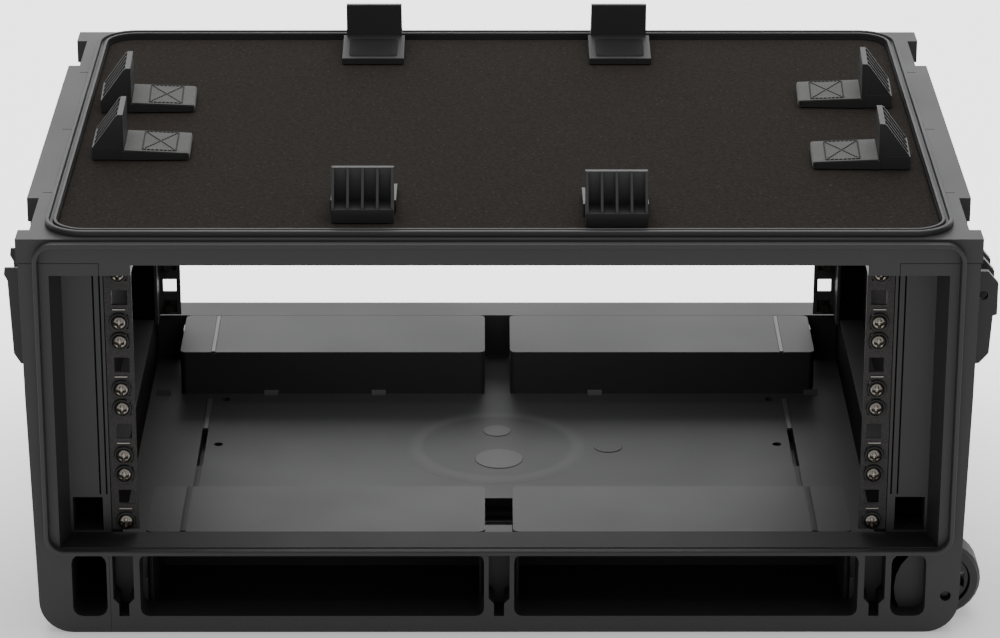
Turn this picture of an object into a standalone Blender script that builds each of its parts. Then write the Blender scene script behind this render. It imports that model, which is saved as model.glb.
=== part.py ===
"""Wheeled four-unit equipment rack case with its front, rear and top lids taken off.

Frame: metres, +X to the wheel side, -Y to the front opening, +Z up, origin on the ground under the
middle of the case.  Lengths below are written in millimetres and scaled once, in build().
"""
import math

import bmesh
import bpy
from mathutils import Vector

MM = 0.001
GAP = 0.3                      # clearance kept between two touching pieces

# Rack grid (19-inch standard)
UNIT = 44.45
HOLE_IN_UNIT = (6.35, 22.225, 38.1)
UNITS = 4
HOLE_X = 232.55
RACK_Z = 59.7                  # bottom of the first rack unit
RAIL_Y = 185.5                 # front face of the rails, either side of the middle
RAIL_IN, RAIL_OUT = 225.0, 242.0
SHEET = 2.2                    # thickness of the rails' steel
HOLE_HALF = 4.75               # half the side of a rail's square hole

# Case envelope
FACE_Y = 209.3                 # sealing faces, front and rear
WALL_IN = RAIL_OUT + GAP
SPLIT_Z = 246.6                # parting line between lower shell and deck
DECK_Z = 262.0
FOOT_R = 21.0                  # radius of the case's lower long edges
FLOOR_Z = 26.9
SHELF_Z = 58.2
SHELF_Y = 115.5                # inner edge of the shelves
SHELF_IN, SHELF_OUT = 8.8, 221.0

# Relief on the faces that stand or rub: ribs up the sides, shallow cells under the floor
SIDE_RIBS_Y = (-118.0, -98.0, 98.0, 118.0)
SIDE_RIB_HALF = 3.0
CELL_ROWS = ((-108.0, -76.0), (-48.0, -3.0), (3.0, 48.0), (76.0, 108.0))
CELLS_IN_ROW, CELL_START, CELL_PITCH, CELL_WIDTH, CELL_DEPTH = 6, -236.0, 79.5, 73.5, 4.0

# Rolling gear
WHEEL_X, WHEEL_Y, WHEEL_R = 278.6, 174.5, 24.7
WHEEL_HALF = 12.0
AXLE_R, AXLE_BORE_R = 3.0, 3.4
AXLE_SUNK = 3.6                # depth of the axle's end below the sealing face

# Carry handles and pull handle
CARRY_PIVOT = (276.0, 178.0)   # x, z of the pivot line
PULL_Y, PULL_X, PULL_Z = 62.0, 277.0, 14.0

# Computer hold-down brackets on the deck: (name, x, y, heading in degrees, sewn strap)
CARPET_Z = 261.7
BRACKETS = (
    ("rear_left", -85.1, 175.5, 90.0, False),
    ("rear_right", 83.6, 175.5, 90.0, False),
    ("front_left", -83.4, -160.5, -90.0, False),
    ("front_right", 71.4, -167.5, -90.0, False),
    ("left_rear", -242.0, 51.5, 182.0, True),
    ("left_front", -238.7, -44.1, 181.0, True),
    ("right_rear", 240.7, 60.9, -2.4, True),
    ("right_front", 240.7, -62.1, -2.0, True),
)


def clear_scene():
    for item in list(bpy.data.objects):
        bpy.data.objects.remove(item)


# ---------------------------------------------------------------- solids as (vertices, faces)

def place(axis, p, q, t):
    """Map a profile point (p, q) and an extrusion distance t to x, y, z."""
    return {"x": (t, p, q), "y": (p, t, q), "z": (p, q, t)}[axis]


def prism(points, axis, a, b):
    """Closed polygon in the plane across `axis`, extruded from a to b."""
    n = len(points)
    verts = [place(axis, p, q, a) for p, q in points] + [place(axis, p, q, b) for p, q in points]
    faces = [tuple(range(n)), tuple(range(2 * n - 1, n - 1, -1))]
    faces += [(i, (i + 1) % n, (i + 1) % n + n, i + n) for i in range(n)]
    return verts, faces


def box(x0, x1, y0, y1, z0, z1):
    return prism([(x0, y0), (x1, y0), (x1, y1), (x0, y1)], "z", z0, z1)


def corner_directions(x0, x1, y0, y1, r, steps):
    """Corner centre and angle for each point round a rounded rectangle, anticlockwise."""
    centres = ((x1 - r, y1 - r), (x0 + r, y1 - r), (x0 + r, y0 + r), (x1 - r, y0 + r))
    for quarter, (cx, cy) in enumerate(centres):
        for k in range(steps + 1):
            yield cx, cy, math.radians(90 * quarter + 90 * k / steps)


def rounded(x0, x1, y0, y1, r, steps=4):
    """Rectangle with rounded corners, anticlockwise."""
    return [(cx + r * math.cos(a), cy + r * math.sin(a))
            for cx, cy, a in corner_directions(x0, x1, y0, y1, r, steps)]


def loop_sweep(x0, x1, y0, y1, r, section, axis, steps=5):
    """Sweep a section (outward offset, height) round a rounded rectangle: a closed ring."""
    rows = []
    for cx, cy, a in corner_directions(x0, x1, y0, y1, r, steps):
        c, s = math.cos(a), math.sin(a)
        rows.append([place(axis, cx + (r + d) * c, cy + (r + d) * s, h) for d, h in section])
    return lace(rows, len(section), True)


def lace(rows, width, closed):
    """Join rows of points into a skin; an open run of rows is capped at both ends."""
    count = len(rows)
    verts = [v for row in rows for v in row]
    faces = []
    for i in range(count if closed else count - 1):
        j = (i + 1) % count
        for k in range(width):
            m = (k + 1) % width
            faces.append((i * width + k, i * width + m, j * width + m, j * width + k))
    if not closed:
        faces += [tuple(range(width)), tuple(range(count * width - 1, (count - 1) * width - 1, -1))]
    return verts, faces


def turned(cx, cz, stations, sides):
    """Solid of revolution about a line along Y through (cx, cz); stations are (y, radius)."""
    rows = []
    angles = [2 * math.pi * k / sides for k in range(sides)]
    for y, r in stations:
        rows.append([(cx + r * math.cos(a), y, cz + r * math.sin(a)) for a in angles])
    return lace(rows, sides, False)


def turned_ring(cx, cz, section, sides):
    """Closed ring about a line along Y; section is a closed loop of (radius, y)."""
    rows = []
    for k in range(sides):
        a = 2 * math.pi * k / sides
        rows.append([(cx + r * math.cos(a), y, cz + r * math.sin(a)) for r, y in section])
    return lace(rows, len(section), True)


def bar(path, radius, normal, sides=10):
    """Round bar along a planar path, mitred at the corners; `normal` is the plane's normal."""
    path = [Vector(p) for p in path]
    normal = Vector(normal).normalized()
    rows = []
    for i, p in enumerate(path):
        ahead = (path[i + 1] - p).normalized() if i + 1 < len(path) else (p - path[i - 1]).normalized()
        behind = (p - path[i - 1]).normalized() if i else ahead
        tangent = (ahead + behind).normalized()
        across = normal.cross(tangent)
        stretch = 1.0 / max(0.2, tangent.dot(ahead))
        rows.append([tuple(p + across * (radius * stretch * math.cos(2 * math.pi * k / sides))
                           + normal * (radius * math.sin(2 * math.pi * k / sides))) for k in range(sides)])
    return lace(rows, sides, False)


def turn(piece, x, y, z, degrees):
    """Rotate a piece about Z and move it to x, y, z."""
    verts, faces = piece
    c, s = math.cos(math.radians(degrees)), math.sin(math.radians(degrees))
    return [(x + c * p - s * q, y + s * p + c * q, z + w) for p, q, w in verts], faces


# ---------------------------------------------------------------- objects

def material(name, rgb, rough, metal=0.0):
    mat = bpy.data.materials.new(name)
    mat.use_nodes = True
    shader = mat.node_tree.nodes["Principled BSDF"]
    shader.inputs["Base Color"].default_value = (*rgb, 1.0)
    shader.inputs["Roughness"].default_value = rough
    shader.inputs["Metallic"].default_value = metal
    mat.diffuse_color = (*rgb, 1.0)
    return mat


PLASTIC = ((0.030, 0.030, 0.031), 0.62, 0.0)
STEEL = ((0.022, 0.021, 0.021), 0.5, 0.3)
NICKEL = ((0.60, 0.59, 0.57), 0.28, 1.0)
CARPET = ((0.024, 0.020, 0.019), 0.95, 0.0)
WEBBING = ((0.19, 0.20, 0.19), 0.85, 0.0)
TYRE = ((0.015, 0.015, 0.015), 0.75, 0.0)
GRIP = ((0.020, 0.020, 0.021), 0.55, 0.0)


def build(name, pieces, look=None, origin=(0.0, 0.0, 0.0)):
    """One object from one or more disjoint solids; with no look it is a hidden boolean operand."""
    bm = bmesh.new()
    for verts, faces in pieces:
        made = [bm.verts.new([(c - o) * MM for c, o in zip(v, origin)]) for v in verts]
        for face in faces:
            bm.faces.new([made[i] for i in face])
    bmesh.ops.recalc_face_normals(bm, faces=bm.faces)
    mesh = bpy.data.meshes.new(name)
    bm.to_mesh(mesh)
    bm.free()
    obj = bpy.data.objects.new(name, mesh)
    obj.location = [o * MM for o in origin]
    bpy.context.scene.collection.objects.link(obj)
    if look is None:
        obj.hide_render = True
        obj.display_type = "WIRE"
    else:
        mesh.materials.append(material(name, *look))
    return obj


def combine(obj, operation, pieces, tag):
    """Add a boolean modifier whose operand is a hidden object made from `pieces`."""
    operand = build(obj.name + "_" + tag, pieces, None)
    step = obj.modifiers.new(tag, "BOOLEAN")
    step.operation = operation
    step.solver = "EXACT"
    step.object = operand
    return operand


# ---------------------------------------------------------------- lower shell

def keyhole(x, side, y0, y1):
    """Locating slot of a sill: wide above, narrow below."""
    w, n = 6.5, 3.15
    pts = [(x - n, 11.0), (x + n, 11.0), (x + n, 19.5), (x + w, 23.0), (x + w, 53.1), (x - w, 53.1),
           (x - w, 23.0), (x - n, 19.5)]
    return prism([(side * p, q) for p, q in pts], "y", y0, y1)


def sill(name, fb):
    """Bottom band of a sealing face: two long through windows and three blind locating slots."""
    obj = build(name, [box(-RAIL_OUT, RAIL_OUT, *sorted((fb * FACE_Y, fb * 186.0)), 0.0, SHELF_Z)], PLASTIC)
    y0, y1 = sorted((fb * (FACE_Y + 2), fb * 184.0))
    cuts = [prism(rounded(*sorted((s * 9.4, s * 223.7)), 11.1, 53.1, 5.0, 3), "y", y0, y1) for s in (-1, 1)]
    y0, y1 = sorted((fb * (FACE_Y + 2), fb * 188.5))
    cuts += [keyhole(234.05, s, y0, y1) for s in (-1, 1)] + [keyhole(0.0, 1, y0, y1)]
    combine(obj, "DIFFERENCE", cuts, "windows")


def shelf(name, lr, fb):
    """Hollow equipment shelf behind a sill, open toward the sill."""
    x0, x1 = sorted((lr * SHELF_IN, lr * SHELF_OUT))
    y0, y1 = sorted((fb * SHELF_Y, fb * (186.0 - GAP)))
    obj = build(name, [prism(rounded(x0, x1, y0, y1, 4.0, 3), "z", 0.0, SHELF_Z)], PLASTIC)
    w0, w1 = sorted((fb * (SHELF_Y + 3.5), fb * 190.0))
    cuts = [box(x0 + 3.5, x1 - 3.5, w0, w1, 4.0, SHELF_Z - 3.5)]
    combine(obj, "DIFFERENCE", cuts, "hollow")
    groove_x = lr * 198.0
    g0, g1 = sorted((fb * (SHELF_Y - 2), fb * 188.0))
    groove = box(groove_x - 1.5, groove_x + 1.5, g0, g1, SHELF_Z - 1.2, SHELF_Z + 2)
    combine(obj, "DIFFERENCE", [groove], "groove")


def floor_pan():
    """Raised floor between the shelves, with a centre slot, drain slots and cells underneath."""
    a, s = SHELF_Y - GAP, SHELF_OUT + GAP
    e, c, w = 186.0 - GAP, SHELF_IN - GAP, RAIL_OUT
    pts = [(-w, -e), (-s, -e), (-s, -a), (-c, -a), (-c, -e), (c, -e), (c, -a), (s, -a), (s, -e), (w, -e),
           (w, e), (s, e), (s, a), (c, a), (c, e), (-c, e), (-c, a), (-s, a), (-s, e), (-w, e)]
    obj = build("floor_pan", [prism(pts, "z", 0.0, FLOOR_Z)], PLASTIC)
    cuts = [box(lr * 200.0 - 2.0, lr * 200.0 + 2.0, -11.0, 51.0, 18.0, 30.0) for lr in (-1, 1)]
    cuts += [box(-11.0, 11.0, -106.5, -64.0, 12.0, 30.0)]
    cuts += [turned_hole(lr * 189.5, y) for lr in (-1, 1) for y in (26.0, 105.5)]
    combine(obj, "DIFFERENCE", cuts, "slots")
    cells = []
    for y0, y1 in CELL_ROWS:
        for k in range(CELLS_IN_ROW):
            x0 = CELL_START + CELL_PITCH * k
            cells.append(box(x0, x0 + CELL_WIDTH, y0, y1, -2.0, CELL_DEPTH))
    combine(obj, "DIFFERENCE", cells, "underside_cells")
    combine(obj, "DIFFERENCE", [box(-250.0, 118.0, s * PULL_Y - 7.0, s * PULL_Y + 7.0, -2.0, 21.0)
                                for s in (-1, 1)], "channels")


def turned_hole(x, y):
    pts = [(x + 3.2 * math.cos(k * math.pi / 4), y + 3.2 * math.sin(k * math.pi / 4)) for k in range(8)]
    return prism(pts, "z", 22.5, 30.0)


def side_wall(name, lr):
    """Double-walled side with two sealing-face stiles, outer ribs, handle recess and deck notches."""
    turns = [math.radians(a) for a in range(0, 91, 10)]
    arc = [(266 + FOOT_R * math.sin(a), FOOT_R - FOOT_R * math.cos(a)) for a in turns]
    side = [(288.0, 77.0), (290.0, 158.0), (291.0, SPLIT_Z - GAP), (WALL_IN, SPLIT_Z - GAP)]
    pts = [(WALL_IN, 0.0)] + arc + side
    obj = build(name, [prism([(lr * p, q) for p, q in pts], "y", -FACE_Y, FACE_Y)], PLASTIC)

    ribs = []
    for y in SIDE_RIBS_Y:
        ribs.append(box(*sorted((lr * 280.0, lr * 292.2)), y - SIDE_RIB_HALF, y + SIDE_RIB_HALF, 40.0, 243.0))
    combine(obj, "UNION", ribs, "side_ribs")
    reveal, pockets, notches = [], [], []
    for fb in (-1, 1):
        y0, y1 = fb * (FACE_Y + 3), fb * 186.0
        out = [(240.0, y1), (267.6, y1), (272.5, fb * (FACE_Y - 1)), (272.5, y0), (240.0, y0)]
        out = [(lr * x, y) for x, y in out]
        reveal.append(prism(out, "z", SHELF_Z, 238.5))
        window = rounded(*sorted((lr * 244.3, lr * 265.9)), 11.1, 53.1, 6.0, 3)
        pockets.append(prism(window, "y", *sorted((y0, fb * 152.0))))
        x0, x1, n0, n1 = *sorted((lr * 285.0, lr * 300.0)), *sorted((fb * 135.5, fb * 192.5))
        notches.append(box(x0, x1, n0, n1, 160.0, 250.0))
    combine(obj, "DIFFERENCE", reveal, "reveal")
    hollow = [box(*sorted((lr * 240.0, lr * 258.0)), -162.0, 162.0, 64.0, 234.0)]
    combine(obj, "DIFFERENCE", hollow, "inner_hollow")
    traps, lines = [], []
    for fb in (-1, 1):
        traps.append(box(*sorted((lr * 247.4, lr * 266.0)), *sorted((fb * 187.0, fb * 168.0)), 59.4, 82.0))
        for x in (244.6, 248.6):
            y0, y1 = sorted((fb * 187.5, fb * 184.0))
            lines.append(box(lr * x - 0.5, lr * x + 0.5, y0, y1, 84.0, 237.0))
    combine(obj, "DIFFERENCE", traps, "corner_traps")
    combine(obj, "DIFFERENCE", lines, "panel_lines")
    cutter = combine(obj, "DIFFERENCE", pockets, "pockets")
    if lr > 0:
        arch = [turned(WHEEL_X, WHEEL_R, [(fb * 148.0, 31.0), (fb * 196.0, 31.0)], 24) for fb in (-1, 1)]
        combine(cutter, "DIFFERENCE", arch, "arch")
        wells = [turned(WHEEL_X, WHEEL_R, [(fb * 159.5, 27.5), (fb * 189.5, 27.5)], 24) for fb in (-1, 1)]
        combine(obj, "DIFFERENCE", wells, "wells")
        bores = []
        for fb in (-1, 1):
            ends = [(fb * 153.0, AXLE_BORE_R), (fb * (FACE_Y + 6.0), AXLE_BORE_R)]
            bores.append(turned(WHEEL_X, WHEEL_R, ends, 16))
        combine(obj, "DIFFERENCE", bores, "axle_bores")
    else:
        grip_bay = [box(-300.0, -262.0, -76.0, 76.0, -3.0, 30.0)]
        tubes = [box(-265.0, -235.0, s * PULL_Y - 7.0, s * PULL_Y + 7.0, 6.0, 22.0) for s in (-1, 1)]
        combine(obj, "DIFFERENCE", grip_bay, "grip_bay")
        combine(obj, "DIFFERENCE", tubes, "tube_bores")
    combine(obj, "DIFFERENCE", notches, "notches")
    bay = prism(rounded(-74.0, 74.0, 112.0, 190.0, 10.0, 3), "x", *sorted((lr * 262.0, lr * 300.0)))
    combine(obj, "DIFFERENCE", [bay], "handle_bay")


def rail(name, lr, fb):
    """Rack rail: folded steel angle with a square hole at each standard position."""
    face, back = fb * RAIL_Y, fb * (RAIL_Y - SHEET)
    flange = fb * 163.0
    pts = [(RAIL_IN, face), (RAIL_OUT, face), (RAIL_OUT, flange), (RAIL_OUT - SHEET, flange),
           (RAIL_OUT - SHEET, back), (RAIL_IN, back)]
    z0, z1 = RACK_Z + 0.2, RACK_Z + UNITS * UNIT - 0.2
    obj = build(name, [prism([(lr * p, q) for p, q in pts], "z", z0, z1)], STEEL)
    cuts = []
    for u in range(UNITS):
        for h in HOLE_IN_UNIT:
            z = RACK_Z + u * UNIT + h
            y0, y1 = sorted((fb * (RAIL_Y + 2.0), fb * (RAIL_Y - 4.5)))
            x = lr * HOLE_X
            cuts.append(box(x - HOLE_HALF, x + HOLE_HALF, y0, y1, z - HOLE_HALF, z + HOLE_HALF))
    combine(obj, "DIFFERENCE", cuts, "holes")


def rack_screws():
    """Pan-head screw and cup washer, as one piece, in the outer two holes of each front unit."""
    for lr, side in ((-1, "left"), (1, "right")):
        for u in range(UNITS):
            for h, place_name in ((HOLE_IN_UNIT[0], "low"), (HOLE_IN_UNIT[2], "high")):
                z = RACK_Z + u * UNIT + h
                y = -RAIL_Y - GAP
                stations = [(y + 10.0, 2.9), (y + 0.01, 2.9), (y, 6.1), (y - 1.4, 5.7), (y - 1.41, 4.7),
                            (y - 3.0, 4.3), (y - 4.0, 2.6)]
                build("screw_%s_%d_%s" % (side, u + 1, place_name),
                      [turned(lr * (HOLE_X + 0.6), z, stations, 12)], NICKEL)


# ---------------------------------------------------------------- deck

def top_deck():
    """Upper moulding: notched slab with headers over the openings and a shallow panel recess."""
    right = [(292.0, -FACE_Y), (292.0, -192.5), (285.0, -192.5), (285.0, -135.5), (292.5, -135.5),
             (292.5, 132.5), (285.0, 132.5), (285.0, 188.0), (292.0, 188.0), (292.0, FACE_Y)]
    outline = right + [(-x, y) for x, y in reversed(right)]
    obj = build("top_deck", [prism(outline, "z", SPLIT_Z, DECK_Z)], PLASTIC)
    heads = []
    for fb in (-1, 1):
        pts = [(-242.0, 250.0), (-242.0, 238.5), (-223.0, 238.5), (-223.0, 245.2),
               (223.0, 245.2), (223.0, 238.5), (242.0, 238.5), (242.0, 250.0)]
        heads.append(prism(pts, "y", *sorted((fb * (FACE_Y - 0.01), fb * 186.0))))
    combine(obj, "UNION", heads, "headers")
    recess = prism(rounded(-269.5, 269.5, -197.9, 195.9, 19.0, 5), "z", 258.4, 270.0)
    combine(obj, "DIFFERENCE", [recess], "recess")


def seat_ring():
    """Raised double lip round the panel that the top lid seats on."""
    top, low = 265.6, DECK_Z + GAP
    section = [(0.0, low), (7.0, low), (7.0, top - 0.6), (6.4, top), (4.4, top),
               (4.4, top - 2.3), (2.0, top - 2.3), (2.0, top - 0.3), (0.0, top - 0.3)]
    build("seat_ring", [loop_sweep(-269.7, 269.7, -198.1, 196.1, 19.2, section, "z")], PLASTIC)


def tongue(name, fb):
    """Raised sealing ridge round an opening."""
    face, tip = fb * (FACE_Y + GAP), fb * (FACE_Y + 5.3)
    section = [(0.0, face), (3.6, face), (3.4, tip), (0.6, tip)]
    build(name, [loop_sweep(-278.3, 278.3, 57.8, 257.0, 9.0, section, "y", 4)], PLASTIC)


def carpet():
    outline = rounded(-269.2, 269.2, -197.6, 195.6, 18.7, 5)
    build("carpet_panel", [prism(outline, "z", 258.7, CARPET_Z)], CARPET)


# ---------------------------------------------------------------- deck fittings

def bracket(name, x, y, heading, sewn):
    """Angle stop: a foot under the computer, an upright face and a five-rib back.

    Local u runs outward from the upright's inner face, v along it, w up from the carpet.
    """
    lift = 1.7 if sewn else 0.0
    foot = prism([(-40.0, lift), (1.0, lift), (1.0, 8.0), (-40.0, 4.2)], "y", -20.0 if sewn else -21.0,
                 20.0 if sewn else 21.0)
    seat = CARPET_Z + GAP
    obj = build("bracket_" + name, [turn(foot, x, y, seat, heading)], PLASTIC)
    angle = [(0.0, 0.0), (20.0, 0.0), (20.0, 8.5), (3.5, 8.5), (3.5, 30.0), (0.0, 30.0)]
    upright = prism(angle, "y", -19.0, 19.0)
    combine(obj, "UNION", [turn(upright, x, y, seat, heading)], "upright")
    ribs = []
    for v in (-18.1, -9.05, 0.0, 9.05, 18.1):
        rib = prism([(2.0, 4.0), (19.2, 4.0), (19.2, 9.2), (4.4, 29.4), (2.0, 29.4)], "y", v - 0.8, v + 0.8)
        ribs.append(turn(rib, x, y, seat, heading))
    combine(obj, "UNION", ribs, "ribs")
    if sewn:
        strap = prism([(-2.0, 0.0), (-2.0, 1.4), (-40.3, 1.4), (-40.3, 4.5), (-2.0, 8.05), (-2.0, 9.45),
                       (-41.7, 5.8), (-41.7, 0.0)], "y", -20.6, 20.6)
        build("strap_" + name, [turn(strap, x, y, seat, heading)], WEBBING)


def lid_hinge(name, fb):
    """Body half of the top lid's hinge: base plate, three drilled knuckles and a guard fin."""
    base = box(285.3, 290.0, *sorted((fb * 136.5, fb * 191.5)), 168.0, 234.0)
    obj = build(name, [base], PLASTIC)
    knuckle = [(288.0, 202.7), (305.5, 202.7), (305.5, 224.0), (299.0, 231.7), (288.0, 231.7)]
    parts = [prism(knuckle, "y", fb * y - 3.0, fb * y + 3.0) for y in (139.8, 160.0)]
    guard = [(288.0, 170.0), (296.0, 171.5), (301.5, 178.0), (303.0, 202.7), (305.5, 203.5), (305.5, 224.0),
             (299.0, 231.7), (288.0, 231.7)]
    parts.append(prism(guard, "y", fb * 182.0 - 2.0, fb * 182.0 + 2.0))
    combine(obj, "UNION", parts, "knuckles")
    bore = turned(296.5, 216.0, sorted([(fb * 130.0, 3.0), (fb * 195.0, 3.0)]), 12)
    combine(obj, "DIFFERENCE", [bore], "pin_bore")


def latch_keeper(name, fb):
    """Catch for a top-lid latch: two guard fins with a cross bar on a base plate."""
    base = box(-290.0, -285.3, *sorted((fb * 136.5, fb * 191.5)), 166.0, 234.0)
    obj = build(name, [base], PLASTIC)
    fin = [(-288.0, 168.7), (-295.0, 170.5), (-299.0, 177.0), (-301.0, 225.0),
           (-303.0, 229.0), (-302.5, 233.3), (-288.0, 233.3)]
    fins = [prism(fin, "y", fb * y - 1.2, fb * y + 1.2) for y in (147.0, 181.0)]
    combine(obj, "UNION", fins, "fins")
    cross = turned(-295.0, 205.0, sorted([(fb * 146.5, 2.6), (fb * 181.5, 2.6)]), 10)
    combine(obj, "UNION", [cross], "cross_bar")


# ---------------------------------------------------------------- moving pieces

def wheel(name, fb):
    """Wheel with six through windows round the hub, and the pin that it turns on."""
    y = fb * WHEEL_Y
    h = WHEEL_HALF
    near = [(3.6, -h), (7.5, -h), (8.5, 2.5 - h), (17.0, 2.5 - h), (18.0, -h), (WHEEL_R - 2.0, -h),
            (WHEEL_R, 3.0 - h)]
    section = [(r, y + d) for r, d in near] + [(r, y - d) for r, d in reversed(near)]
    obj = build(name, [turned_ring(WHEEL_X, WHEEL_R, section, 28)], TYRE, (WHEEL_X, y, WHEEL_R))
    cuts = []
    for k in range(6):
        mid = k * 60.0
        pts = []
        for r, spread in ((9.6, 16.0), (15.6, 22.0)):
            order = (-1, 1) if r < 12 else (1, -1)
            for o in order:
                a = math.radians(mid + o * spread)
                pts.append((WHEEL_X + r * math.cos(a), WHEEL_R + r * math.sin(a)))
        cuts.append(prism(pts, "y", y - 20.0, y + 20.0))
    combine(obj, "DIFFERENCE", cuts, "spoke_gaps")
    end = fb * (FACE_Y - AXLE_SUNK)
    stations = [(fb * 157.0, AXLE_R), (end - fb * 0.6, AXLE_R), (end, AXLE_R - 0.6)]
    build(name.replace("wheel", "axle"), [turned(WHEEL_X, WHEEL_R, stations, 12)], NICKEL)


def carry_handle(name, lr):
    """Swinging carry handle that folds flat into the side recess."""
    px, pz = lr * CARRY_PIVOT[0], CARRY_PIVOT[1]
    path = [(px, -72.0, pz), (px, -62.0, pz), (px, -58.0, pz - 4.0), (px, -54.0, 132.0), (px, -48.0, 126.0),
            (px, 48.0, 126.0), (px, 54.0, 132.0), (px, 58.0, pz - 4.0), (px, 62.0, pz), (px, 72.0, pz)]
    build(name, [bar(path, 5.5, (1, 0, 0))], GRIP, (px, 0.0, pz))


def pull_handle():
    """Tow handle: two tubes that slide under the floor, joined by a grip."""
    x0, x1 = -PULL_X, 110.0
    path = [(x1, -PULL_Y, PULL_Z), (x0 + 6.0, -PULL_Y, PULL_Z), (x0, -PULL_Y + 6.0, PULL_Z),
            (x0, PULL_Y - 6.0, PULL_Z), (x0 + 6.0, PULL_Y, PULL_Z), (x1, PULL_Y, PULL_Z)]
    build("pull_handle", [bar(path, 5.6, (0, 0, 1))], STEEL, (x0, 0.0, PULL_Z))


clear_scene()
for front_back, fb_name in ((-1, "front"), (1, "rear")):
    sill("sill_" + fb_name, front_back)
    tongue("tongue_" + fb_name, front_back)
    wheel("wheel_" + fb_name, front_back)
    lid_hinge("lid_hinge_" + fb_name, front_back)
    latch_keeper("latch_keeper_" + fb_name, front_back)
    for left_right, lr_name in ((-1, "left"), (1, "right")):
        shelf("shelf_%s_%s" % (fb_name, lr_name), left_right, front_back)
        rail("rail_%s_%s" % (fb_name, lr_name), left_right, front_back)
for left_right, lr_name in ((-1, "left"), (1, "right")):
    side_wall("side_wall_" + lr_name, left_right)
    carry_handle("carry_handle_" + lr_name, left_right)
floor_pan()
rack_screws()
top_deck()
seat_ring()
carpet()
for spec in BRACKETS:
    bracket(*spec)
pull_handle()
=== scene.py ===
"""Wheeled equipment rack case, lids off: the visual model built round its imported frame."""
import math

import bmesh
import bpy
import numpy as np
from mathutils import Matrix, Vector


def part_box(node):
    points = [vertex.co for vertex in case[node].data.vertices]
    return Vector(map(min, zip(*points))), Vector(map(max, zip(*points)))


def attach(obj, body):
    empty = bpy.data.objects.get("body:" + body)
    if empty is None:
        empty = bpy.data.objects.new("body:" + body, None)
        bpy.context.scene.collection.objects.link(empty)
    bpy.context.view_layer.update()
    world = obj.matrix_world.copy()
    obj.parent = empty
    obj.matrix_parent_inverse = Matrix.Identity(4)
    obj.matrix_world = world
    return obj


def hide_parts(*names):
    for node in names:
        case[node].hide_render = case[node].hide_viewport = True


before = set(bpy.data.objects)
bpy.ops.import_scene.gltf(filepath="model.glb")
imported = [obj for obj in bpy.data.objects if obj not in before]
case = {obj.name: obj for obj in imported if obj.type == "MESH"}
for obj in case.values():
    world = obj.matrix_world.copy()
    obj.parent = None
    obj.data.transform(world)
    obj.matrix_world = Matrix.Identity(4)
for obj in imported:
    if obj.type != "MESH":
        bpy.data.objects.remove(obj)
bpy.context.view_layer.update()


# ------------------------------------------------------------------ camera, floor and light
# The camera stands two and a half metres in front of the case and 1.1 m up, with a long lens.
# The floor is matt white paper that glows more behind the case than before it.  Round it is a
# white tent with a soft light overhead, one behind, and a small one that fills the bay's shade.

def srgb(code):
    """sRGB hex to linear RGBA: each channel c becomes c / 12.92 below 0.04045, and above it
    ((c + 0.055) / 1.055) to the power 2.4."""
    c = np.array([int(code[k:k + 2], 16) for k in (1, 3, 5)]) / 255.0
    lin = np.where(c <= 0.04045, c / 12.92, ((c + 0.055) / 1.055) ** 2.4)
    return (*[float(v) for v in lin], 1.0)


def add(tree, kind, settings=None, links=None, **values):
    """Add one node: `settings` are its properties, `values` set its sockets by name, and `links`
    are the outputs that feed them."""
    made = tree.nodes.new(kind)
    for key, value in (settings or {}).items():
        setattr(made, key, value)
    for key, value in values.items():
        made.inputs[key.replace("_", " ")].default_value = value
    for key, source in (links or {}).items():
        tree.links.new(source, made.inputs[key])
    return made


camera = bpy.data.objects.new("camera", bpy.data.cameras.new("camera"))
camera.data.lens = 143.46
camera.data.clip_end = 50.0
camera.location = (-0.0096, -2.4605, 1.0944)
camera.rotation_euler = (math.radians(68.564), math.radians(-0.08), math.radians(-0.221))
bpy.context.scene.collection.objects.link(camera)
bpy.context.scene.camera = camera

floor_mesh = bpy.data.meshes.new("studio_floor")
wide = 14.0
floor_mesh.from_pydata([(-wide, -wide, 0), (wide, -wide, 0), (wide, wide, 0), (-wide, wide, 0)], [],
                       [(0, 1, 2, 3)])
studio_floor = bpy.data.objects.new("studio_floor", floor_mesh)
studio_floor.location.z = -0.0002
bpy.context.scene.collection.objects.link(studio_floor)
paper = bpy.data.materials.new("matt_white_paper")
paper.use_nodes = True
paper_shader = paper.node_tree.nodes["Principled BSDF"]
paper_shader.inputs["Base Color"].default_value = srgb("#f4f4f3")
paper_shader.inputs["Roughness"].default_value = 1.0
paper_shader.inputs["Specular IOR Level"].default_value = 0.0
paper_shader.inputs["Emission Color"].default_value = (1.0, 1.0, 1.0, 1.0)
paper_depth = add(paper.node_tree, "ShaderNodeSeparateXYZ", None,
                  {"Vector": add(paper.node_tree, "ShaderNodeTexCoord").outputs["Object"]})
glow = add(paper.node_tree, "ShaderNodeMapRange", {"interpolation_type": "SMOOTHSTEP"},
           {"Value": paper_depth.outputs["Y"]}, From_Min=-0.3, From_Max=0.5, To_Min=0.22, To_Max=1.9)
paper.node_tree.links.new(glow.outputs["Result"], paper_shader.inputs["Emission Strength"])
floor_mesh.materials.append(paper)

tent = bpy.data.worlds.new("white_tent")
tent.use_nodes = True
tent.node_tree.nodes["Background"].inputs["Color"].default_value = (1.0, 1.0, 1.0, 1.0)
tent.node_tree.nodes["Background"].inputs["Strength"].default_value = 0.62
bpy.context.scene.world = tent


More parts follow.
